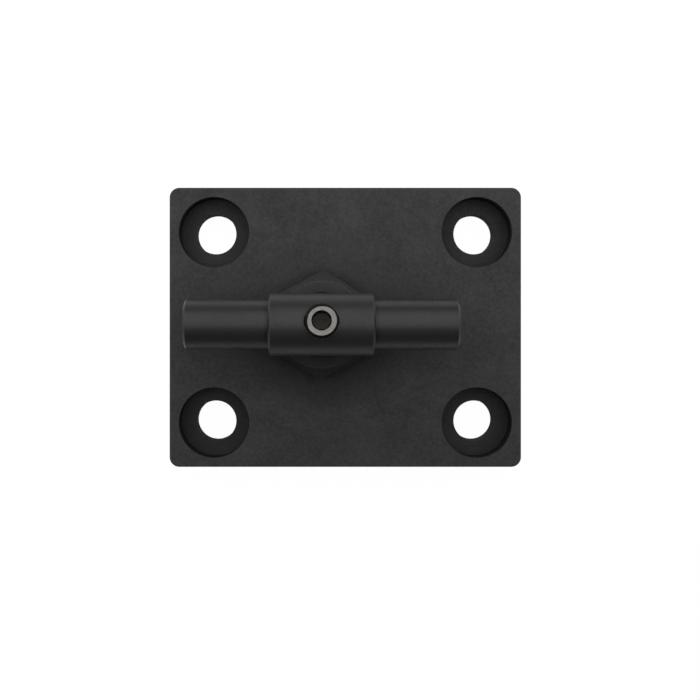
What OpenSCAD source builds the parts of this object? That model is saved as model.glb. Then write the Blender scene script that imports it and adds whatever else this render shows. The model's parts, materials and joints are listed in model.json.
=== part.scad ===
// T hinge: a counterbored mounting plate with a screwed-in tee that carries a cross pin.
// The plate lies on its back: z = 0 is the back face and +Z is the way the stud points.

/* [Plate] */
// Length of the plate, along X
plate_l = 90; // [72:1:130]
// Width of the plate, along Y
plate_w = 71.5; // [58:0.5:110]
// Thickness of the plate
plate_t = 12; // [10:0.5:16]
// Radius of the plate's corners
corner_r = 2.5; // [1:0.5:6]
// Edge break along the plate's front and back edges
edge_break = 0.5; // [0.2:0.1:0.8]

/* [Fixing holes] */
// Distance from each hole's centre to the two plate edges beside it
hole_inset = 11.4; // [11:0.1:14]
// Diameter of the fixing holes
hole_d = 10.5; // [8.5:0.5:13]
// Diameter of the counterbores for the screw heads
counterbore_d = 18; // [15:0.5:20]
// Depth of the counterbores
counterbore_depth = 6; // [3:0.5:8]

/* [Stud] */
// Thread diameter of the stud
stud_d = 16; // [14:1:16]
// Distance of the stud's axis to the left of the plate's centre
stud_offset = 6; // [0:0.5:7]
// Distance of the stud's axis above the plate's centre, towards +Y
stud_rise = 0.6; // [0:0.1:3]
// Diameter of the plain neck that is welded to the barrel
neck_d = 12.5; // [10:0.5:12.5]
// Length of the neck below the barrel
neck_l = 2.2; // [1.5:0.1:3]
// Radius of the weld bead
weld_r = 1.2; // [0.8:0.1:1.4]

/* [Barrel] */
// Height of the barrel's axis above the plate's front face
axis_height = 20; // [18.5:0.5:40]
// Wall of the barrel round its bore
barrel_wall = 1.45; // [1.2:0.05:2.5]
// Length of the barrel
barrel_l = 25; // [20:1:36]

/* [Hinge pin] */
// Diameter of the pin
pin_d = 12; // [10:0.5:12]
// Length of the pin
pin_l = 65; // [52:1:80]
// Depth of the retaining groove in the pin
groove_depth = 1.8; // [1.5:0.1:2.5]

/* [Lock nut] */
// Width across flats
nut_af = 24; // [22:1:24]
// Thickness of the nut
nut_t = 8; // [6:0.5:8]
// Turn of the nut from corner-up, clockwise as seen from the front
nut_turn = 2; // [0:1:59]

/* [Set screw] */
// Thread diameter of the set screw
screw_d = 8; // [6:1:8]
// Turn of the set screw about the barrel's axis, away from the stud's line towards +Y
screw_turn = 6; // [0:1:10]
// How far the set screw stands above the barrel
screw_proud = 1; // [0.9:0.1:1.4]
// Width across flats of the hexagon socket
socket_af = 4; // [3:0.5:4]
// Depth of the hexagon socket
socket_depth = 2.4; // [1.5:0.1:2.5]

/* [Fits] */
// Radial gap of every thread and of the pin in its barrel
fit_gap = 0.05; // [0.02:0.01:0.1]
// Gap between the set screw's tip and the bottom of the pin's groove
tip_gap = 0.1; // [0.05:0.05:0.3]

/* [Hidden] */
$fn = 96;
axis_z = plate_t + axis_height;
hole_x = plate_l / 2 - hole_inset;
hole_y = plate_w / 2 - hole_inset;
pin_r = pin_d / 2;
groove_r = pin_r - groove_depth;
barrel_r = pin_r + fit_gap + barrel_wall;
neck_r = neck_d / 2;
stud_r = stud_d / 2;
screw_r = screw_d / 2;
screw_l = barrel_r + screw_proud - groove_r - tip_gap;
stud_recess = 0.5;
stud_chamfer = 1.2;
stud_end_z = axis_z - barrel_r - neck_l;
barrel_chamfer = 0.4;
pin_chamfer = 0.5;
groove_w = screw_d + 1;
groove_slope = 0.8;
relief_w = 0.8;
relief_shown = 0.1;
relief_depth = 0.3;
screw_chamfer = 0.5;
drill_cone = 0.6;
socket_mouth = 0.05;
countersink = 0.2;
nut_face_r = 0.45 * nut_af;
nut_corner_r = nut_af / sqrt(3);
nut_chamfer = (nut_corner_r - nut_face_r) * tan(30);
thread_countersink = 0.65;
eps = 0.01;

// Puts children on the stud's axis, at height z.
module on_stud(z = 0) {
    translate([-stud_offset, stud_rise, z]) children();
}

// Lays a shape made along Z down along X, centred on the barrel's axis.
module along_barrel() {
    on_stud(axis_z) rotate([0, 90, 0]) children();
}

// Puts children on the set screw's axis, at distance r from the barrel's axis.
module on_screw(r = 0) {
    on_stud(axis_z) rotate([-screw_turn, 0, 0]) translate([0, 0, r]) children();
}

// Solid of revolution with a 45 degree chamfer c on both ends.
module chamfered_rod(r, l, c) {
    rotate_extrude()
        polygon([[0, 0], [r - c, 0], [r, c], [r, l - c], [r - c, l], [0, l]]);
}

// Round hole through z = 0 to l, countersunk by c at 45 degrees on both faces.
module countersunk_hole(r, l, c) {
    rotate_extrude()
        polygon([[0, -eps], [r + c + eps, -eps], [r, c], [r, l - c],
                 [r + c + eps, l + eps], [0, l + eps]]);
}

// Bar along X whose four long edges are broken by c; the section is w by t.
module chamfered_bar(l, w, t, c) {
    translate([-l / 2, 0, 0]) rotate([90, 0, 90]) linear_extrude(l)
        polygon([[-w / 2 + c, 0], [w / 2 - c, 0], [w / 2, c], [w / 2, t - c],
                 [w / 2 - c, t], [-w / 2 + c, t], [-w / 2, t - c], [-w / 2, c]]);
}

module plate_blank() {
    inner_l = plate_l - 2 * corner_r;
    inner_w = plate_w - 2 * corner_r;
    union() {
        chamfered_bar(inner_l, plate_w, plate_t, edge_break);
        rotate(90) chamfered_bar(inner_w, plate_l, plate_t, edge_break);
        for (x = [-inner_l / 2, inner_l / 2], y = [-inner_w / 2, inner_w / 2])
            translate([x, y, 0]) chamfered_rod(corner_r, plate_t, edge_break);
    }
}

module fixing_hole() {
    translate([0, 0, -eps]) cylinder(d = hole_d, h = plate_t + 2 * eps);
    translate([0, 0, plate_t - counterbore_depth])
        cylinder(d = counterbore_d, h = counterbore_depth + eps);
}

module mounting_plate() {
    color([0.20, 0.20, 0.20]) difference() {
        plate_blank();
        for (x = [-hole_x, hole_x], y = [-hole_y, hole_y])
            translate([x, y, 0]) fixing_hole();
        on_stud() countersunk_hole(stud_r + fit_gap, plate_t, thread_countersink);
    }
}

// The stud's thread is a plain rod of its major diameter; its neck is coped to the barrel.
module threaded_stud() {
    color([0.22, 0.22, 0.22]) difference() {
        union() {
            on_stud(stud_recess)
                chamfered_rod(stud_r, stud_end_z - stud_recess, stud_chamfer);
            on_stud(stud_end_z - eps) cylinder(r = neck_r, h = axis_z - stud_end_z);
        }
        along_barrel() cylinder(r = barrel_r, h = barrel_l, center = true);
    }
}

module pivot_barrel() {
    color([0.24, 0.24, 0.23]) difference() {
        along_barrel() translate([0, 0, -barrel_l / 2])
            chamfered_rod(barrel_r, barrel_l, barrel_chamfer);
        along_barrel() translate([0, 0, -barrel_l / 2])
            countersunk_hole(pin_r + fit_gap, barrel_l, barrel_chamfer);
        on_screw() cylinder(r = screw_r + fit_gap, h = 2 * barrel_r);
        on_screw(barrel_r - countersink)
            cylinder(r1 = screw_r, r2 = screw_r + barrel_r, h = barrel_r);
    }
}

// Centre line of the weld: the saddle curve where the neck meets the barrel.
function weld_point(a) =
    let (y = neck_r * sin(a))
    [neck_r * cos(a), y, axis_z - sqrt(barrel_r * barrel_r - y * y)];

module weld_bead() {
    turns = 64;
    sides = 10;
    points = [for (i = [0:turns - 1], j = [0:sides - 1])
        let (a = 360 * i / turns, b = 360 * j / sides, p = weld_point(a))
        p + weld_r * [cos(b) * cos(a), cos(b) * sin(a), sin(b)]];
    faces = [for (i = [0:turns - 1], j = [0:sides - 1])
        let (n = (i + 1) % turns, m = (j + 1) % sides)
        [i * sides + j, i * sides + m, n * sides + m, n * sides + j]];
    color([0.21, 0.21, 0.21]) difference() {
        on_stud() polyhedron(points, faces, convexity = 4);
        on_stud() cylinder(r = neck_r, h = axis_z);
        along_barrel() cylinder(r = barrel_r, h = barrel_l, center = true);
    }
}

// Hexagon nut, chamfered at 30 degrees on both faces, seated on the plate.
module lock_nut() {
    color([0.20, 0.20, 0.20]) on_stud(plate_t) difference() {
        intersection() {
            rotate(90 - nut_turn) cylinder(r = nut_corner_r, h = nut_t, $fn = 6);
            rotate_extrude()
                polygon([[0, 0], [nut_face_r, 0], [nut_corner_r + eps, nut_chamfer],
                         [nut_corner_r + eps, nut_t - nut_chamfer], [nut_face_r, nut_t],
                         [0, nut_t]]);
        }
        countersunk_hole(stud_r + fit_gap, nut_t, thread_countersink);
    }
}

// Outline of the pin from its middle to one end: the groove that the set screw's tip
// stands in, the bearing length, the relief at the barrel's face and the free journal.
function pin_outline() =
    let (relief = barrel_l / 2 + relief_shown - relief_w)
    [[groove_r, groove_w / 2], [pin_r, groove_w / 2 + groove_slope],
     [pin_r, relief], [pin_r - relief_depth, relief],
     [pin_r - relief_depth, relief + relief_w], [pin_r, relief + relief_w],
     [pin_r, pin_l / 2 - pin_chamfer], [pin_r - pin_chamfer, pin_l / 2]];

module hinge_pin() {
    right = pin_outline();
    left = [for (i = [len(right) - 1:-1:0]) [right[i][0], -right[i][1]]];
    color([0.24, 0.24, 0.23]) along_barrel() rotate_extrude()
        polygon(concat([[0, -pin_l / 2]], left, right, [[0, pin_l / 2]]));
}

// Flat-tipped set screw with a hexagon socket, the cone its drill left and a small mouth.
module set_screw() {
    flat_r = socket_af / 2;
    socket_r = socket_af / sqrt(3);
    mouth_l = socket_r + socket_mouth - flat_r;
    color([0.62, 0.61, 0.58]) on_screw(groove_r + tip_gap) difference() {
        chamfered_rod(screw_r, screw_l, screw_chamfer);
        translate([0, 0, screw_l - socket_depth])
            cylinder(r = socket_r, h = socket_depth + eps, $fn = 6);
        translate([0, 0, screw_l - socket_depth - drill_cone])
            cylinder(r1 = 0, r2 = flat_r, h = drill_cone + eps);
        translate([0, 0, screw_l - mouth_l])
            cylinder(r1 = flat_r, r2 = flat_r + mouth_l + eps, h = mouth_l + eps);
    }
}

mounting_plate();
threaded_stud();
pivot_barrel();
weld_bead();
lock_nut();
hinge_pin();
set_screw();
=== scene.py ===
import json
import math

import bmesh
import bpy
import numpy as np
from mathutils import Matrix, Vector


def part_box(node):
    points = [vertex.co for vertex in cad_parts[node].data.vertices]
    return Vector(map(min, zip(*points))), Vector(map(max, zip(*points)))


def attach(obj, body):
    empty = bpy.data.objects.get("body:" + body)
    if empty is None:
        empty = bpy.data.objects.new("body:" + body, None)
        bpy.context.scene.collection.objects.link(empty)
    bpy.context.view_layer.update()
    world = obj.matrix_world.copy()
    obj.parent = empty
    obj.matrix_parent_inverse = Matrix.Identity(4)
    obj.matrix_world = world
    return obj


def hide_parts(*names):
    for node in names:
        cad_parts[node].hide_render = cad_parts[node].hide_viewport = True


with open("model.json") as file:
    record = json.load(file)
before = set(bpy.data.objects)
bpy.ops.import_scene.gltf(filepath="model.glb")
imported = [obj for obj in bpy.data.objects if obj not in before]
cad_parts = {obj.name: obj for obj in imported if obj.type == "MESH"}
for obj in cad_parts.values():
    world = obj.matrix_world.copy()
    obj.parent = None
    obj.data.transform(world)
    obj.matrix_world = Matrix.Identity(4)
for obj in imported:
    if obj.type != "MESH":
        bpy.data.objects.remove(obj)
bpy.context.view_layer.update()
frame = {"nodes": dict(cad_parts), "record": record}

# --- Mounting plate -------------------------------------------------------------------
# A flat steel plate that is screwed to the post through four counterbored holes, with a
# tapped hole for the stud. It is coated matte black, with a fine, slightly cloudy grain. The
# recesses keep the cutter's rings. Painted shade darkens the coat in the recesses, in its
# corners, and round and under the tee.
MM = 0.001
PLATE_DARK = (0.023, 0.023, 0.0227, 1.0)
PLATE_LIGHT = (0.047, 0.047, 0.0465, 1.0)
PAINTED_SHADE_BLACK = (0.008, 0.008, 0.008, 1.0)
RECESS_RADIUS = 9.0 * MM
RING_PITCH = 0.55 * MM


def shader_group(name, inputs, outputs):
    """A new shader node group with named sockets. Gives the group, its input and its output node."""
    group = bpy.data.node_groups.new(name, "ShaderNodeTree")
    for label, kind, value in inputs:
        socket = group.interface.new_socket(label, in_out="INPUT", socket_type=kind)
        socket.default_value = value
    for label, kind in outputs:
        group.interface.new_socket(label, in_out="OUTPUT", socket_type=kind)
    return group, group.nodes.new("NodeGroupInput"), group.nodes.new("NodeGroupOutput")


def coating_grain_group():
    """Black coating: a cloudy noise and a fine noise mixed into one mottle, which gives the
    colour between dark and light, and the fine noise as bump."""
    group, given, made = shader_group(
        "coating_grain",
        [("Cloud Scale", "NodeSocketFloat", 90.0), ("Grain Scale", "NodeSocketFloat", 2500.0),
         ("Dark", "NodeSocketColor", (0.03, 0.03, 0.03, 1.0)),
         ("Light", "NodeSocketColor", (0.04, 0.04, 0.04, 1.0)),
         ("Depth", "NodeSocketFloat", 0.15)],
        [("Color", "NodeSocketColor"), ("Mottle", "NodeSocketFloat"),
         ("Normal", "NodeSocketVector")])
    nodes, link = group.nodes, group.links.new
    place = nodes.new("ShaderNodeTexCoord")
    cloud = nodes.new("ShaderNodeTexNoise")
    cloud.inputs["Detail"].default_value = 5.0
    cloud.inputs["Roughness"].default_value = 0.65
    grain = nodes.new("ShaderNodeTexNoise")
    grain.inputs["Detail"].default_value = 3.0
    for noise, scale in ((cloud, "Cloud Scale"), (grain, "Grain Scale")):
        link(place.outputs["Object"], noise.inputs["Vector"])
        link(given.outputs[scale], noise.inputs["Scale"])
    both = nodes.new("ShaderNodeMix")
    both.inputs["Factor"].default_value = 0.5
    link(cloud.outputs["Fac"], both.inputs["A"])
    link(grain.outputs["Fac"], both.inputs["B"])
    spread = nodes.new("ShaderNodeMapRange")
    spread.inputs["From Min"].default_value = 0.35
    spread.inputs["From Max"].default_value = 0.65
    link(both.outputs["Result"], spread.inputs["Value"])
    colour = nodes.new("ShaderNodeMix")
    colour.data_type = "RGBA"
    link(spread.outputs["Result"], colour.inputs["Factor"])
    link(given.outputs["Dark"], colour.inputs["A"])
    link(given.outputs["Light"], colour.inputs["B"])
    bump = nodes.new("ShaderNodeBump")
    bump.inputs["Distance"].default_value = 0.04 * MM
    link(given.outputs["Depth"], bump.inputs["Strength"])
    link(grain.outputs["Fac"], bump.inputs["Height"])
    link(colour.outputs["Result"], made.inputs["Color"])
    link(spread.outputs["Result"], made.inputs["Mottle"])
    link(bump.outputs["Normal"], made.inputs["Normal"])
    return group


def painted_edge_highlight_group():
    """Painted highlight on edges: where the surface's normal and the normal rounded over a small
    radius differ, their dot product falls. Scaled to a mask, that lightens the colour there."""
    group, given, made = shader_group(
        "painted_edge_highlight",
        [("Color", "NodeSocketColor", (0.03, 0.03, 0.03, 1.0)),
         ("Highlight Colour", "NodeSocketColor", (0.12, 0.12, 0.12, 1.0)),
         ("Amount", "NodeSocketFloat", 0.5)],
        [("Color", "NodeSocketColor")])
    nodes, link = group.nodes, group.links.new
    rounded = nodes.new("ShaderNodeBevel")
    rounded.samples = 6
    rounded.inputs["Radius"].default_value = 0.3 * MM
    own = nodes.new("ShaderNodeNewGeometry")
    agree = nodes.new("ShaderNodeVectorMath")
    agree.operation = "DOT_PRODUCT"
    link(rounded.outputs["Normal"], agree.inputs[0])
    link(own.outputs["Normal"], agree.inputs[1])
    mask = nodes.new("ShaderNodeMapRange")
    mask.inputs["From Min"].default_value = 0.99
    mask.inputs["From Max"].default_value = 0.88
    link(agree.outputs["Value"], mask.inputs["Value"])
    amount = nodes.new("ShaderNodeMath")
    amount.operation = "MULTIPLY"
    link(mask.outputs["Result"], amount.inputs[0])
    link(given.outputs["Amount"], amount.inputs[1])
    colour = nodes.new("ShaderNodeMix")
    colour.data_type = "RGBA"
    link(amount.outputs["Value"], colour.inputs["Factor"])
    link(given.outputs["Color"], colour.inputs["A"])
    link(given.outputs["Highlight Colour"], colour.inputs["B"])
    link(colour.outputs["Result"], made.inputs["Color"])
    return group


def painted_corner_shade_group():
    """Painted shade in corners: the share of short rays that neighbours stop, scaled to a mask,
    darkens the colour there."""
    group, given, made = shader_group(
        "painted_corner_shade",
        [("Color", "NodeSocketColor", (0.03, 0.03, 0.03, 1.0)),
         ("Shade Colour", "NodeSocketColor", (0.004, 0.004, 0.004, 1.0)),
         ("Reach", "NodeSocketFloat", 1.5 * MM), ("Amount", "NodeSocketFloat", 0.8)],
        [("Color", "NodeSocketColor")])
    nodes, link = group.nodes, group.links.new
    open_air = nodes.new("ShaderNodeAmbientOcclusion")
    open_air.samples = 8
    link(given.outputs["Reach"], open_air.inputs["Distance"])
    closed = nodes.new("ShaderNodeMapRange")
    closed.inputs["From Min"].default_value = 0.97
    closed.inputs["From Max"].default_value = 0.45
    link(open_air.outputs["AO"], closed.inputs["Value"])
    amount = nodes.new("ShaderNodeMath")
    amount.operation = "MULTIPLY"
    link(closed.outputs["Result"], amount.inputs[0])
    link(given.outputs["Amount"], amount.inputs[1])
    colour = nodes.new("ShaderNodeMix")
    colour.data_type = "RGBA"
    link(amount.outputs["Value"], colour.inputs["Factor"])
    link(given.outputs["Color"], colour.inputs["A"])
    link(given.outputs["Shade Colour"], colour.inputs["B"])
    link(colour.outputs["Result"], made.inputs["Color"])
    return group


coating_grain = coating_grain_group()
painted_edge_highlight = painted_edge_highlight_group()
painted_corner_shade = painted_corner_shade_group()


def coated(name, dark, light, roughness, cloud_scale, grain_scale, depth, edge_highlight, ior):
    """A black coated steel. The coating grain gives colour, gloss and bump, a painted highlight
    lightens the edges by the given share, and painted shade darkens the corners."""
    material = bpy.data.materials.new(name)
    material.use_nodes = True
    nodes, link = material.node_tree.nodes, material.node_tree.links.new
    shader = nodes["Principled BSDF"]
    shader.inputs["IOR"].default_value = ior
    grain = nodes.new("ShaderNodeGroup")
    grain.name = "grain"
    grain.node_tree = coating_grain
    for label, value in (("Cloud Scale", cloud_scale), ("Grain Scale", grain_scale),
                         ("Dark", dark), ("Light", light), ("Depth", depth)):
        grain.inputs[label].default_value = value
    gloss = nodes.new("ShaderNodeMapRange")
    gloss.inputs["To Min"].default_value = roughness + 0.06
    gloss.inputs["To Max"].default_value = roughness - 0.06
    edges = nodes.new("ShaderNodeGroup")
    edges.name = "edges"
    edges.node_tree = painted_edge_highlight
    edges.inputs["Amount"].default_value = edge_highlight
    corner_shade = nodes.new("ShaderNodeGroup")
    corner_shade.name = "corner_shade"
    corner_shade.node_tree = painted_corner_shade
    link(grain.outputs["Mottle"], gloss.inputs["Value"])
    link(grain.outputs["Color"], edges.inputs["Color"])
    link(edges.outputs["Color"], corner_shade.inputs["Color"])
    link(corner_shade.outputs["Color"], shader.inputs["Base Color"])
    link(gloss.outputs["Result"], shader.inputs["Roughness"])
    link(grain.outputs["Normal"], shader.inputs["Normal"])
    return material


def dress(node, material):
    """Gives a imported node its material."""
    piece = frame["nodes"][node]
    piece.data.materials.clear()
    piece.data.materials.append(material)


def bored_recess_rings_and_shade(material, half_x, half_y):
    """Paints shade into the four recesses, darkening them, and cuts the cutter's rings in them.
    The mirrored distance from a hole's axis, length(|x| - half_x, |y| - half_y), drives the
    mask and a sine wave."""
    nodes, link = material.node_tree.nodes, material.node_tree.links.new
    shader, grain, corner_shade = nodes["Principled BSDF"], nodes["grain"], nodes["corner_shade"]
    place = nodes.new("ShaderNodeTexCoord")
    mirrored = nodes.new("ShaderNodeVectorMath")
    mirrored.operation = "ABSOLUTE"
    offset = nodes.new("ShaderNodeVectorMath")
    offset.operation = "SUBTRACT"
    offset.inputs[1].default_value = (half_x, half_y, 0)
    flat = nodes.new("ShaderNodeVectorMath")
    flat.operation = "MULTIPLY"
    flat.inputs[1].default_value = (1, 1, 0)
    distance = nodes.new("ShaderNodeVectorMath")
    distance.operation = "LENGTH"
    link(place.outputs["Object"], mirrored.inputs[0])
    link(mirrored.outputs["Vector"], offset.inputs[0])
    link(offset.outputs["Vector"], flat.inputs[0])
    link(flat.outputs["Vector"], distance.inputs[0])
    inside = nodes.new("ShaderNodeMapRange")
    inside.inputs["From Min"].default_value = RECESS_RADIUS + 0.15 * MM
    inside.inputs["From Max"].default_value = RECESS_RADIUS - 0.05 * MM
    link(distance.outputs["Value"], inside.inputs["Value"])
    darker = nodes.new("ShaderNodeMix")
    darker.data_type = "RGBA"
    darker.inputs["B"].default_value = PAINTED_SHADE_BLACK
    darker_share = nodes.new("ShaderNodeMath")
    darker_share.operation = "MULTIPLY"
    darker_share.inputs[1].default_value = 0.95
    link(inside.outputs["Result"], darker_share.inputs[0])
    link(darker_share.outputs["Value"], darker.inputs["Factor"])
    link(corner_shade.outputs["Color"], darker.inputs["A"])
    link(darker.outputs["Result"], shader.inputs["Base Color"])
    turns = nodes.new("ShaderNodeMath")
    turns.operation = "MULTIPLY"
    turns.inputs[1].default_value = 2 * math.pi / RING_PITCH
    link(distance.outputs["Value"], turns.inputs[0])
    ring = nodes.new("ShaderNodeMath")
    ring.operation = "SINE"
    link(turns.outputs["Value"], ring.inputs[0])
    ring_depth = nodes.new("ShaderNodeMath")
    ring_depth.operation = "MULTIPLY"
    link(ring.outputs["Value"], ring_depth.inputs[0])
    link(inside.outputs["Result"], ring_depth.inputs[1])
    cut = nodes.new("ShaderNodeBump")
    cut.inputs["Strength"].default_value = 0.35
    cut.inputs["Distance"].default_value = 0.02 * MM
    link(ring_depth.outputs["Value"], cut.inputs["Height"])
    link(grain.outputs["Normal"], cut.inputs["Normal"])
    link(cut.outputs["Normal"], shader.inputs["Normal"])


def painted_tee_shadow(material, centre_x, centre_y, stretch, inner, outer, least, most):
    """Paints the tee's soft shadow into the coating's colour, round and under the tee, so that
    it stays when the tee turns. The cause of the real patch isn't known, and this one stays
    when the tee turns. The mask falls smoothly from inner to outer with the distance from the
    centre, after x is divided by stretch, and a noise breaks it."""
    nodes, link = material.node_tree.nodes, material.node_tree.links.new
    edges = nodes["edges"]
    coating = edges.inputs["Color"].links[0].from_socket
    place = nodes.new("ShaderNodeTexCoord")
    spread = nodes.new("ShaderNodeMapping")
    spread.vector_type = "TEXTURE"
    spread.inputs["Location"].default_value = (centre_x, centre_y, 0)
    any_height = 1e6
    spread.inputs["Scale"].default_value = (stretch, 1, any_height)
    distance = nodes.new("ShaderNodeVectorMath")
    distance.operation = "LENGTH"
    link(place.outputs["Object"], spread.inputs["Vector"])
    link(spread.outputs["Vector"], distance.inputs[0])
    near = nodes.new("ShaderNodeMapRange")
    near.interpolation_type = "SMOOTHSTEP"
    near.inputs["From Min"].default_value = outer
    near.inputs["From Max"].default_value = inner
    link(distance.outputs["Value"], near.inputs["Value"])
    cloud = nodes.new("ShaderNodeTexNoise")
    cloud.inputs["Scale"].default_value = 110.0
    cloud.inputs["Detail"].default_value = 3.0
    link(place.outputs["Object"], cloud.inputs["Vector"])
    broken = nodes.new("ShaderNodeMapRange")
    broken.inputs["From Min"].default_value = 0.3
    broken.inputs["From Max"].default_value = 0.6
    broken.inputs["To Min"].default_value = least
    broken.inputs["To Max"].default_value = most
    link(cloud.outputs["Fac"], broken.inputs["Value"])
    share = nodes.new("ShaderNodeMath")
    share.operation = "MULTIPLY"
    link(near.outputs["Result"], share.inputs[0])
    link(broken.outputs["Result"], share.inputs[1])
    darker = nodes.new("ShaderNodeMix")
    darker.data_type = "RGBA"
    darker.inputs["B"].default_value = PAINTED_SHADE_BLACK
    link(share.outputs["Value"], darker.inputs["Factor"])
    link(coating, darker.inputs["A"])
    link(darker.outputs["Result"], edges.inputs["Color"])


fixing_holes = next(m for m in frame["record"]["mounts"] if m["name"] == "fixing_holes")
plate_coat = coated("plate_coating", PLATE_DARK, PLATE_LIGHT, roughness=0.58,
                    cloud_scale=110.0, grain_scale=1300.0, depth=0.35, edge_highlight=0.35, ior=1.48)
# Painted shade on the plate, reaching farther, in its corners and round the parts on it.
plate_corner_shade = plate_coat.node_tree.nodes["corner_shade"]
plate_corner_shade.inputs["Reach"].default_value = 3.5 * MM
plate_corner_shade.inputs["Amount"].default_value = 0.95
bored_recess_rings_and_shade(plate_coat, fixing_holes["dims"]["spacing_x_mm"] / 2 * MM,
               fixing_holes["dims"]["spacing_y_mm"] / 2 * MM)
# Painted soft shadow of the tee: a broad patch round it and a darker one under the nut.
painted_tee_shadow(plate_coat, -7.0 * MM, 2.0 * MM, 2.0, 9.0 * MM, 24.0 * MM, 0.3, 0.6)
painted_tee_shadow(plate_coat, -6.5 * MM, -5.0 * MM, 1.1, 9.0 * MM, 19.0 * MM, 0.8, 0.95)
dress("mounting_plate", plate_coat)

# --- Pivot barrel ---------------------------------------------------------------------
# A turned steel tube, bored for the pin and tapped for the set screw, blackened after
# turning. The tool's fine rings run round it, and the finish is satin.
STEEL_DARK = (0.016, 0.016, 0.0155, 1.0)
STEEL_LIGHT = (0.027, 0.027, 0.026, 1.0)


def turned(material, step, strength):
    """Adds lathe rings round the X axis: a noise that runs fast along x, about step apart,
    and hardly changes across it, as bump."""
    nodes, link = material.node_tree.nodes, material.node_tree.links.new
    place = nodes.new("ShaderNodeTexCoord")
    along = nodes.new("ShaderNodeMapping")
    along.inputs["Scale"].default_value = (1 / step, 6.0, 6.0)
    rings = nodes.new("ShaderNodeTexNoise")
    rings.inputs["Scale"].default_value = 1.0
    rings.inputs["Detail"].default_value = 2.0
    cut = nodes.new("ShaderNodeBump")
    cut.inputs["Strength"].default_value = strength
    cut.inputs["Distance"].default_value = 0.02 * MM
    link(place.outputs["Object"], along.inputs["Vector"])
    link(along.outputs["Vector"], rings.inputs["Vector"])
    link(rings.outputs["Fac"], cut.inputs["Height"])
    link(nodes["grain"].outputs["Normal"], cut.inputs["Normal"])
    link(cut.outputs["Normal"], nodes["Principled BSDF"].inputs["Normal"])


# The barrel's edges carry a strong painted highlight.
barrel_black = coated("turned_black_steel", STEEL_DARK, STEEL_LIGHT, roughness=0.44,
                      cloud_scale=160.0, grain_scale=2500.0, depth=0.12, edge_highlight=0.9, ior=1.54)
turned(barrel_black, step=0.35 * MM, strength=0.25)
dress("pivot_barrel", barrel_black)
barrel_low, barrel_high = (np.array(corner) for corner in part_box("pivot_barrel"))
barrel_centre = (barrel_low + barrel_high) / 2
barrel_radius = (barrel_high[2] - barrel_low[2]) / 2

# --- Threaded stud --------------------------------------------------------------------
# An M16 stud with a coarse rolled thread and chamfered ends. Its neck is turned down and
# coped to sit against the barrel. It screws through the plate and the lock nut.
STUD_PITCH = 2.0 * MM
STUD_CHAMFER = 1.2 * MM
NECK_RADIUS = 6.25 * MM
NECK_LENGTH = 2.2 * MM
SUNK_IN_BARREL = 0.3 * MM
SHARP_ANGLE = math.radians(28)
stud_low, stud_high = (np.array(corner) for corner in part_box("threaded_stud"))
stud_radius = (stud_high[0] - stud_low[0]) / 2
stud_x, stud_y = (stud_high[:2] + stud_low[:2]) / 2
shoulder_z = barrel_low[2] - NECK_LENGTH


def thread_radius(angle, height, pitch, radius):
    """Radius of a right-hand thread: the crest's radius less a flat-bottomed V groove whose
    place is height / pitch - angle / one turn. The thread's own sizes are in pitches."""
    half_crest, flank, depth = 1 / 16, 5 / 16, 0.6134
    phase = np.mod(height / pitch - angle / (2 * np.pi), 1.0)
    from_crest = np.abs(phase - 0.5)
    groove = np.clip((from_crest - half_crest) / flank, 0.0, 1.0)
    return radius - depth * pitch * groove


def surface(name, points, slots=None):
    """A closed mesh from a grid of points, rows by columns, whose columns run right round.
    The first and last rows are poles. slots gives each row of faces its material slot."""
    rows, columns = points.shape[:2]
    row, column = np.meshgrid(np.arange(rows - 1), np.arange(columns), indexing="ij")
    nearer = row * columns + column
    beside = row * columns + (column + 1) % columns
    quads = np.stack([nearer, beside, beside + columns, nearer + columns], -1).reshape(-1, 4)
    mesh = bpy.data.meshes.new(name)
    mesh.from_pydata(points.reshape(-1, 3), [], quads.tolist())
    if slots is not None:
        mesh.polygons.foreach_set("material_index", np.repeat(slots, columns).astype(np.int32))
    work = bmesh.new()
    work.from_mesh(mesh)
    bmesh.ops.remove_doubles(work, verts=work.verts, dist=0.0005 * MM)
    bmesh.ops.dissolve_degenerate(work, edges=work.edges, dist=0.0001 * MM)
    bmesh.ops.recalc_face_normals(work, faces=work.faces)
    work.to_mesh(mesh)
    work.free()
    mesh.shade_smooth()
    mesh.set_sharp_from_angle(angle=SHARP_ANGLE)
    piece = bpy.data.objects.new(name, mesh)
    bpy.context.scene.collection.objects.link(piece)
    return piece


def stud_surface():
    """Rings of radius r(angle, z) up the stud: the end cap, the thread held inside both end
    chamfers, the neck, and the cope, where z is the barrel's underside above that ring. The
    neck's end is sunk a little into the barrel, so that no gap shows."""
    angle = np.linspace(0, 2 * np.pi, 96, endpoint=False)[None, :]
    thread_z = np.linspace(stud_low[2], shoulder_z, 190)[:, None] + 0 * angle
    root = stud_radius - STUD_CHAMFER
    thread_r = np.minimum.reduce([
        thread_radius(angle, thread_z, STUD_PITCH, stud_radius),
        root + (thread_z - stud_low[2]), root + (shoulder_z - thread_z)])
    saddle = barrel_centre[2] - np.sqrt(barrel_radius ** 2 - (NECK_RADIUS * np.sin(angle)) ** 2)
    rise = np.linspace(0, 1, 6)[:, None]
    neck_z = shoulder_z + rise * (saddle + SUNK_IN_BARREL - shoulder_z)
    neck_r = NECK_RADIUS + 0 * neck_z
    level = 0 * angle
    r = np.concatenate([level, thread_r, neck_r, level])
    top_z = barrel_low[2] + SUNK_IN_BARREL
    z = np.concatenate([level + stud_low[2], thread_z, neck_z, level + top_z])
    return np.stack([stud_x + r * np.cos(angle), stud_y + r * np.sin(angle), z], -1)


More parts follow.
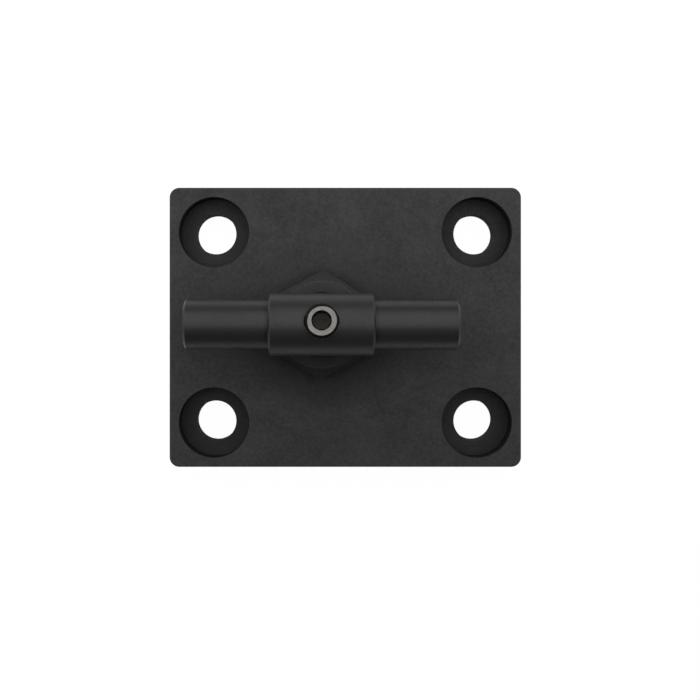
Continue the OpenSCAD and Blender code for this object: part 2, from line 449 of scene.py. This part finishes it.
stud_black = coated("rolled_thread_black", STEEL_DARK, STEEL_LIGHT, roughness=0.42,
                    cloud_scale=200.0, grain_scale=2500.0, depth=0.2, edge_highlight=0.5, ior=1.62)
stud = surface("stud_with_thread", stud_surface())
stud.data.materials.append(stud_black)
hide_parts("threaded_stud")
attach(stud, "tee")

# --- Weld bead ------------------------------------------------------------------------
# One run of fillet weld round the neck, under the barrel, with a ripple for each dip of
# the torch and black over it. It is a whole tube, part of which is sunk in both pieces.
BEAD_RADIUS = 1.2 * MM
BEAD_RIPPLES = 30


def bead_surface():
    """A tube round the saddle curve where the neck meets the barrel. Its radius swells by a
    rectified sine of the way round, which lags at the sides so that the ripples are crescents."""
    along = np.linspace(0, 2 * np.pi, 360, endpoint=False)[:, None]
    around = np.linspace(0, 2 * np.pi, 20, endpoint=False)[None, :]
    y = NECK_RADIUS * np.sin(along)
    seam_z = barrel_centre[2] - np.sqrt(barrel_radius ** 2 - y ** 2)
    lag = 0.9 * np.sin(around) ** 2
    swell = 0.90 + 0.10 * np.abs(np.sin(BEAD_RIPPLES * along / 2 + lag))
    r = NECK_RADIUS + BEAD_RADIUS * swell * np.cos(around)
    z = seam_z + BEAD_RADIUS * swell * np.sin(around)
    return np.stack([stud_x + r * np.cos(along), stud_y + r * np.sin(along), z], -1)


def ring_surface(name, points):
    """A closed ring mesh from a grid of points that runs right round both ways."""
    rows, columns = points.shape[:2]
    row, column = np.meshgrid(np.arange(rows), np.arange(columns), indexing="ij")
    next_row, next_column = (row + 1) % rows, (column + 1) % columns
    corners = [row * columns + column, next_row * columns + column,
               next_row * columns + next_column, row * columns + next_column]
    mesh = bpy.data.meshes.new(name)
    mesh.from_pydata(points.reshape(-1, 3), [], np.stack(corners, -1).reshape(-1, 4).tolist())
    mesh.shade_smooth()
    piece = bpy.data.objects.new(name, mesh)
    bpy.context.scene.collection.objects.link(piece)
    return piece


bead_black = coated("weld_black", STEEL_DARK, STEEL_LIGHT, roughness=0.5,
                    cloud_scale=220.0, grain_scale=2200.0, depth=0.5, edge_highlight=0.0, ior=1.62)
bead = ring_surface("weld_ripples", bead_surface())
bead.data.materials.append(bead_black)
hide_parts("weld_bead")
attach(bead, "tee")

# --- Lock nut -------------------------------------------------------------------------
# A thin hexagon nut, turned with a 30 degree chamfer on both faces and blackened. It
# jams the stud against the plate. The edge round each face is drawn lighter, a painted
# highlight.
NUT_FLATS = 24.0 * MM
NUT_TURN = math.radians(2)
NUT_FACE_RADIUS = 0.45 * NUT_FLATS
NUT_BORE = 8.05 * MM
NUT_BREAK = 0.2 * MM
NUT_CHAMFER = math.radians(30)
NUT_COLUMNS = 240
FACE_HIGHLIGHT_ROWS = [2, 8]
nut_low, nut_high = (np.array(corner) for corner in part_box("lock_nut"))


def nut_surface():
    """Rings round the nut's section, from the bore over the top, down the side and back under
    the bottom. The hexagon's radius is half the flats over the cosine of the angle from the
    nearest flat, and the chamfer cone falls from the face circle at 30 degrees until it meets
    it. The edges are broken by a narrow row, and the bottom is the top mirrored."""
    angle = np.linspace(0, 2 * np.pi, NUT_COLUMNS, endpoint=False)[None, :]
    level = 0 * angle
    hexagon = NUT_FLATS / 2 / np.cos(np.mod(angle, np.pi / 3) - np.pi / 6)
    side = np.minimum(hexagon, NUT_FLATS / math.sqrt(3) - 2 * NUT_BREAK)
    half = (nut_high[2] - nut_low[2]) / 2
    meet = half - (side - NUT_FACE_RADIUS) * math.tan(NUT_CHAMFER)
    along, down = NUT_BREAK * math.cos(NUT_CHAMFER), NUT_BREAK * math.sin(NUT_CHAMFER)
    r = np.concatenate([level + NUT_BORE, level + NUT_BORE + NUT_BREAK / 2,
                        level + NUT_FACE_RADIUS - NUT_BREAK, level + NUT_FACE_RADIUS + along,
                        side - along, side])
    z = np.concatenate([level + half - NUT_BREAK / 2, level + half, level + half,
                        level + half - down, meet + down, meet - NUT_BREAK])
    r, z = np.concatenate([r, r[::-1]]), np.concatenate([z, -z[::-1]])
    way = angle + np.pi / 2 - NUT_TURN
    middle = (nut_high[2] + nut_low[2]) / 2
    return np.stack([stud_x + r * np.cos(way), stud_y + r * np.sin(way), middle + z], -1)


nut_points = nut_surface()
nut = ring_surface("chamfered_nut", nut_points)
nut.data.set_sharp_from_angle(angle=SHARP_ANGLE)
nut_black = coated("nut_black", (0.016, 0.016, 0.016, 1), (0.030, 0.030, 0.030, 1),
                   roughness=0.6, cloud_scale=150.0, grain_scale=2200.0, depth=0.3, edge_highlight=0.1,
                   ior=1.47)
# A lighter coat paints the highlight on the edge round each face.
nut_highlight = coated("nut_painted_edge_highlight", (0.022, 0.022, 0.0215, 1), (0.042, 0.042, 0.041, 1),
                  roughness=0.55, cloud_scale=400.0, grain_scale=2200.0, depth=0.3, edge_highlight=0.0,
                  ior=1.47)
# The nut takes only a little painted corner shade.
for nut_coat in (nut_black, nut_highlight):
    nut_coat.node_tree.nodes["corner_shade"].inputs["Amount"].default_value = 0.3
    nut.data.materials.append(nut_coat)
row_slots = np.zeros(len(nut_points), np.int32)
row_slots[FACE_HIGHLIGHT_ROWS] = 1
nut.data.polygons.foreach_set("material_index", np.repeat(row_slots, NUT_COLUMNS))
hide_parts("lock_nut")
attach(nut, "nut")

# --- Hinge pin ------------------------------------------------------------------------
# A straight steel pin, turned and ground, with broken ends and a groove in its middle for
# the set screw's tip. The gate's knuckles turn on the two ends that stand out of the barrel.
pin_black = coated("ground_black_pin", STEEL_DARK, STEEL_LIGHT, roughness=0.43,
                   cloud_scale=140.0, grain_scale=2500.0, depth=0.1, edge_highlight=0.6, ior=1.53)
turned(pin_black, step=0.25 * MM, strength=0.2)
dress("hinge_pin", pin_black)

# --- Set screw ------------------------------------------------------------------------
# A bare steel socket set screw with an M8 thread, chamfered ends, a flat tip that stands
# in the pin's groove and a hexagon socket. Only the ring round the socket is drawn as clean
# metal: the thread, its chamfer and the socket are drawn dark as painted shade.
SCREW_PITCH = 1.25 * MM
SCREW_RADIUS = 4.0 * MM
SCREW_LENGTH = 4.2 * MM
SCREW_PROUD = 1.0 * MM
SCREW_CHAMFER = 0.5 * MM
SOCKET_FLATS = 4.0 * MM
SOCKET_DEPTH = 2.4 * MM
DRILL_CONE = 0.6 * MM
MOUTH_RADIUS = SOCKET_FLATS / math.sqrt(3) + 0.05 * MM
screw_axis = np.array(next(j for j in frame["record"]["behaviour"]["joints"]
                           if j["name"] == "set_screw_travel")["axis"])


def screw_surface():
    """Rings along the screw from its flat tip to the bottom of its socket. The socket's
    radius is the hexagon's, half its flats over the cosine of the angle from the nearest flat,
    and its mouth cone meets each flat lower than each corner. Gives the points and slots."""
    angle = np.linspace(0, 2 * np.pi, 120, endpoint=False)[None, :]
    level = 0 * angle
    thread_z = np.linspace(0, SCREW_LENGTH, 60)[:, None] + level
    root = SCREW_RADIUS - SCREW_CHAMFER
    thread_r = np.minimum.reduce([
        thread_radius(angle, thread_z, SCREW_PITCH, SCREW_RADIUS),
        root + thread_z, root + (SCREW_LENGTH - thread_z)])
    hexagon = SOCKET_FLATS / 2 / np.cos(np.mod(angle, np.pi / 3) - np.pi / 6)
    floor_z = SCREW_LENGTH - SOCKET_DEPTH
    r = np.concatenate([level, thread_r, level + MOUTH_RADIUS, hexagon,
                        hexagon, level + SOCKET_FLATS / 2, level])
    z = np.concatenate([level, thread_z, level + SCREW_LENGTH,
                        SCREW_LENGTH - MOUTH_RADIUS + hexagon, level + floor_z,
                        level + floor_z, level + floor_z - DRILL_CONE])
    clean_ring, dark_walls, socket_bottom = 0, 1, 2
    slots = np.full(len(r) - 1, dark_walls)
    slots[len(thread_r)] = clean_ring
    slots[-2:] = socket_bottom
    side = np.array([1.0, 0.0, 0.0])
    up = np.cross(screw_axis, side)
    tip = barrel_centre + screw_axis * (barrel_radius + SCREW_PROUD - SCREW_LENGTH)
    points = (tip + r[..., None] * np.cos(angle)[..., None] * side
              + r[..., None] * np.sin(angle)[..., None] * up + z[..., None] * screw_axis)
    return points, slots


def bare_steel(name, colour, dull, roughness):
    """Bare steel: a metal whose colour and gloss go between clean and dull by a cloudy noise,
    with a fine noise as bump."""
    material = bpy.data.materials.new(name)
    material.use_nodes = True
    nodes, link = material.node_tree.nodes, material.node_tree.links.new
    shader = nodes["Principled BSDF"]
    shader.inputs["Metallic"].default_value = 1.0
    place = nodes.new("ShaderNodeTexCoord")
    cloud = nodes.new("ShaderNodeTexNoise")
    cloud.inputs["Scale"].default_value = 900.0
    cloud.inputs["Detail"].default_value = 4.0
    link(place.outputs["Object"], cloud.inputs["Vector"])
    tone = nodes.new("ShaderNodeMix")
    tone.data_type = "RGBA"
    tone.inputs["A"].default_value = colour
    tone.inputs["B"].default_value = dull
    link(cloud.outputs["Fac"], tone.inputs["Factor"])
    link(tone.outputs["Result"], shader.inputs["Base Color"])
    gloss = nodes.new("ShaderNodeMapRange")
    gloss.inputs["To Min"].default_value = roughness - 0.08
    gloss.inputs["To Max"].default_value = roughness + 0.12
    link(cloud.outputs["Fac"], gloss.inputs["Value"])
    link(gloss.outputs["Result"], shader.inputs["Roughness"])
    fine = nodes.new("ShaderNodeTexNoise")
    fine.inputs["Scale"].default_value = 5200.0
    link(place.outputs["Object"], fine.inputs["Vector"])
    bump = nodes.new("ShaderNodeBump")
    bump.inputs["Strength"].default_value = 0.2
    bump.inputs["Distance"].default_value = 0.02 * MM
    link(fine.outputs["Fac"], bump.inputs["Height"])
    link(bump.outputs["Normal"], shader.inputs["Normal"])
    return material


screw = surface("socket_set_screw", *screw_surface())
for screw_finish, clean, dull, roughness in (
        ("bare_steel", (0.30, 0.29, 0.27, 1), (0.20, 0.195, 0.18, 1), 0.42),
        ("thread_painted_shade", (0.035, 0.034, 0.031, 1), (0.02, 0.02, 0.018, 1), 0.5),
        ("socket_floor_painted_shade", (0.045, 0.044, 0.039, 1), (0.028, 0.027, 0.024, 1), 0.5)):
    screw.data.materials.append(bare_steel(screw_finish, clean, dull, roughness))
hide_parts("set_screw")
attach(screw, "screw")

# --- Floor, light and camera ----------------------------------------------------------
# The hinge lies on its back a hair above a white sheet, under one large soft box that hangs
# above and beyond its far edge. The camera looks straight down on the plate.
FLOOR_HALF = 3.0
FLOOR_LEVEL = -0.1 * MM
SHADE_RADIUS = 45 * MM
SHEET_RADIUS = 60 * MM
floor_mesh = bpy.data.meshes.new("floor")
floor_mesh.from_pydata([(x * FLOOR_HALF, y * FLOOR_HALF, FLOOR_LEVEL)
                        for x, y in ((-1, -1), (1, -1), (1, 1), (-1, 1))],
                       [], [(0, 1, 2, 3)])
floor = bpy.data.objects.new("floor", floor_mesh)
bpy.context.scene.collection.objects.link(floor)


def white_sheet():
    """White paper. The camera sees it white, with a little of its shadow. Reflections see its
    glow with painted shade near the hinge, where the plate shades it, and painted light farther
    off and towards the soft box. From below it is clear, so that the plate's back can be seen."""
    material = bpy.data.materials.new("white_sheet")
    material.use_nodes = True
    nodes, link = material.node_tree.nodes, material.node_tree.links.new
    nodes.remove(nodes["Principled BSDF"])
    paper = nodes.new("ShaderNodeBsdfDiffuse")
    paper.inputs["Color"].default_value = (0.8, 0.8, 0.8, 1)
    glow = nodes.new("ShaderNodeEmission")
    glow.inputs["Strength"].default_value = 1.06
    rays = nodes.new("ShaderNodeLightPath")
    place = nodes.new("ShaderNodeTexCoord")
    away = nodes.new("ShaderNodeVectorMath")
    away.operation = "LENGTH"
    link(place.outputs["Object"], away.inputs[0])
    # Painted shade: reflections see no glow within SHADE_RADIUS of the hinge.
    outside = nodes.new("ShaderNodeMapRange")
    outside.inputs["From Min"].default_value = SHADE_RADIUS
    outside.inputs["From Max"].default_value = SHEET_RADIUS
    outside.inputs["To Max"].default_value = 0.7
    link(away.outputs["Value"], outside.inputs["Value"])
    along_y = nodes.new("ShaderNodeSeparateXYZ")
    link(place.outputs["Object"], along_y.inputs["Vector"])
    # Painted light: the reflected glow grows towards the soft box.
    lit = nodes.new("ShaderNodeMapRange")
    lit.inputs["From Min"].default_value = -SHEET_RADIUS
    lit.inputs["From Max"].default_value = SHEET_RADIUS
    lit.inputs["To Min"].default_value = 0.5
    link(along_y.outputs["Y"], lit.inputs["Value"])
    mirrored = nodes.new("ShaderNodeMath")
    mirrored.operation = "MULTIPLY"
    link(outside.outputs["Result"], mirrored.inputs[0])
    link(lit.outputs["Result"], mirrored.inputs[1])
    glossy = nodes.new("ShaderNodeMath")
    glossy.operation = "MULTIPLY"
    link(rays.outputs["Is Glossy Ray"], glossy.inputs[0])
    link(mirrored.outputs["Value"], glossy.inputs[1])
    seen = nodes.new("ShaderNodeMath")
    seen.operation = "MAXIMUM"
    link(rays.outputs["Is Camera Ray"], seen.inputs[0])
    link(glossy.outputs["Value"], seen.inputs[1])
    share = nodes.new("ShaderNodeMath")
    share.operation = "MULTIPLY"
    share.inputs[1].default_value = 0.92
    link(seen.outputs["Value"], share.inputs[0])
    mix = nodes.new("ShaderNodeMixShader")
    link(share.outputs["Value"], mix.inputs["Fac"])
    link(paper.outputs["BSDF"], mix.inputs[1])
    link(glow.outputs["Emission"], mix.inputs[2])
    clear = nodes.new("ShaderNodeBsdfTransparent")
    side = nodes.new("ShaderNodeNewGeometry")
    one_way = nodes.new("ShaderNodeMixShader")
    link(side.outputs["Backfacing"], one_way.inputs["Fac"])
    link(mix.outputs["Shader"], one_way.inputs[1])
    link(clear.outputs["BSDF"], one_way.inputs[2])
    link(one_way.outputs["Shader"], nodes["Material Output"].inputs["Surface"])
    return material


floor_mesh.materials.append(white_sheet())

world = bpy.data.worlds.new("studio")
world.use_nodes = True
bpy.context.scene.world = world
world_nodes, world_link = world.node_tree.nodes, world.node_tree.links.new
world_rays = world_nodes.new("ShaderNodeLightPath")
world_level = world_nodes.new("ShaderNodeMapRange")
world_level.inputs["To Min"].default_value = 0.05
world_level.inputs["To Max"].default_value = 1.0
world_nodes["Background"].inputs["Color"].default_value = (1, 1, 1, 1)
world_link(world_rays.outputs["Is Camera Ray"], world_level.inputs["Value"])
world_link(world_level.outputs["Result"], world_nodes["Background"].inputs["Strength"])


def softbox(name, place, aim, width, height, power):
    """A rectangular area light at place, turned to face aim. Sizes are in metres and power
    is in watts."""
    lamp = bpy.data.lights.new(name, "AREA")
    lamp.shape = "RECTANGLE"
    lamp.size, lamp.size_y, lamp.energy = width, height, power
    box = bpy.data.objects.new(name, lamp)
    bpy.context.scene.collection.objects.link(box)
    away = np.subtract(place, aim)
    dx, dy, dz = away / np.linalg.norm(away)
    box.location = place
    box.rotation_euler = (math.acos(dz), 0, math.atan2(dx, -dy))


softbox("overhead_softbox", (-0.04, 0.265, 0.36), (-0.04, 0.265, 0), 1.1, 0.67, 2.5)

plate_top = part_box("mounting_plate")[1][2]
CAMERA_HEIGHT = 283 * MM
CAMERA_X, CAMERA_Y = -5.38 * MM, -1.2 * MM
VIEW_WIDTH = 179.03 * MM
SENSOR_WIDTH = 36.0
camera_data = bpy.data.cameras.new("camera")
camera_data.sensor_width = SENSOR_WIDTH
camera_data.lens = SENSOR_WIDTH * CAMERA_HEIGHT / VIEW_WIDTH
camera_data.shift_x, camera_data.shift_y = 0.0367, -0.0257
camera = bpy.data.objects.new("camera", camera_data)
bpy.context.scene.collection.objects.link(camera)
camera.location = (CAMERA_X, CAMERA_Y, plate_top + CAMERA_HEIGHT)
bpy.context.scene.camera = camera
bpy.context.scene.view_settings.view_transform = "Standard"
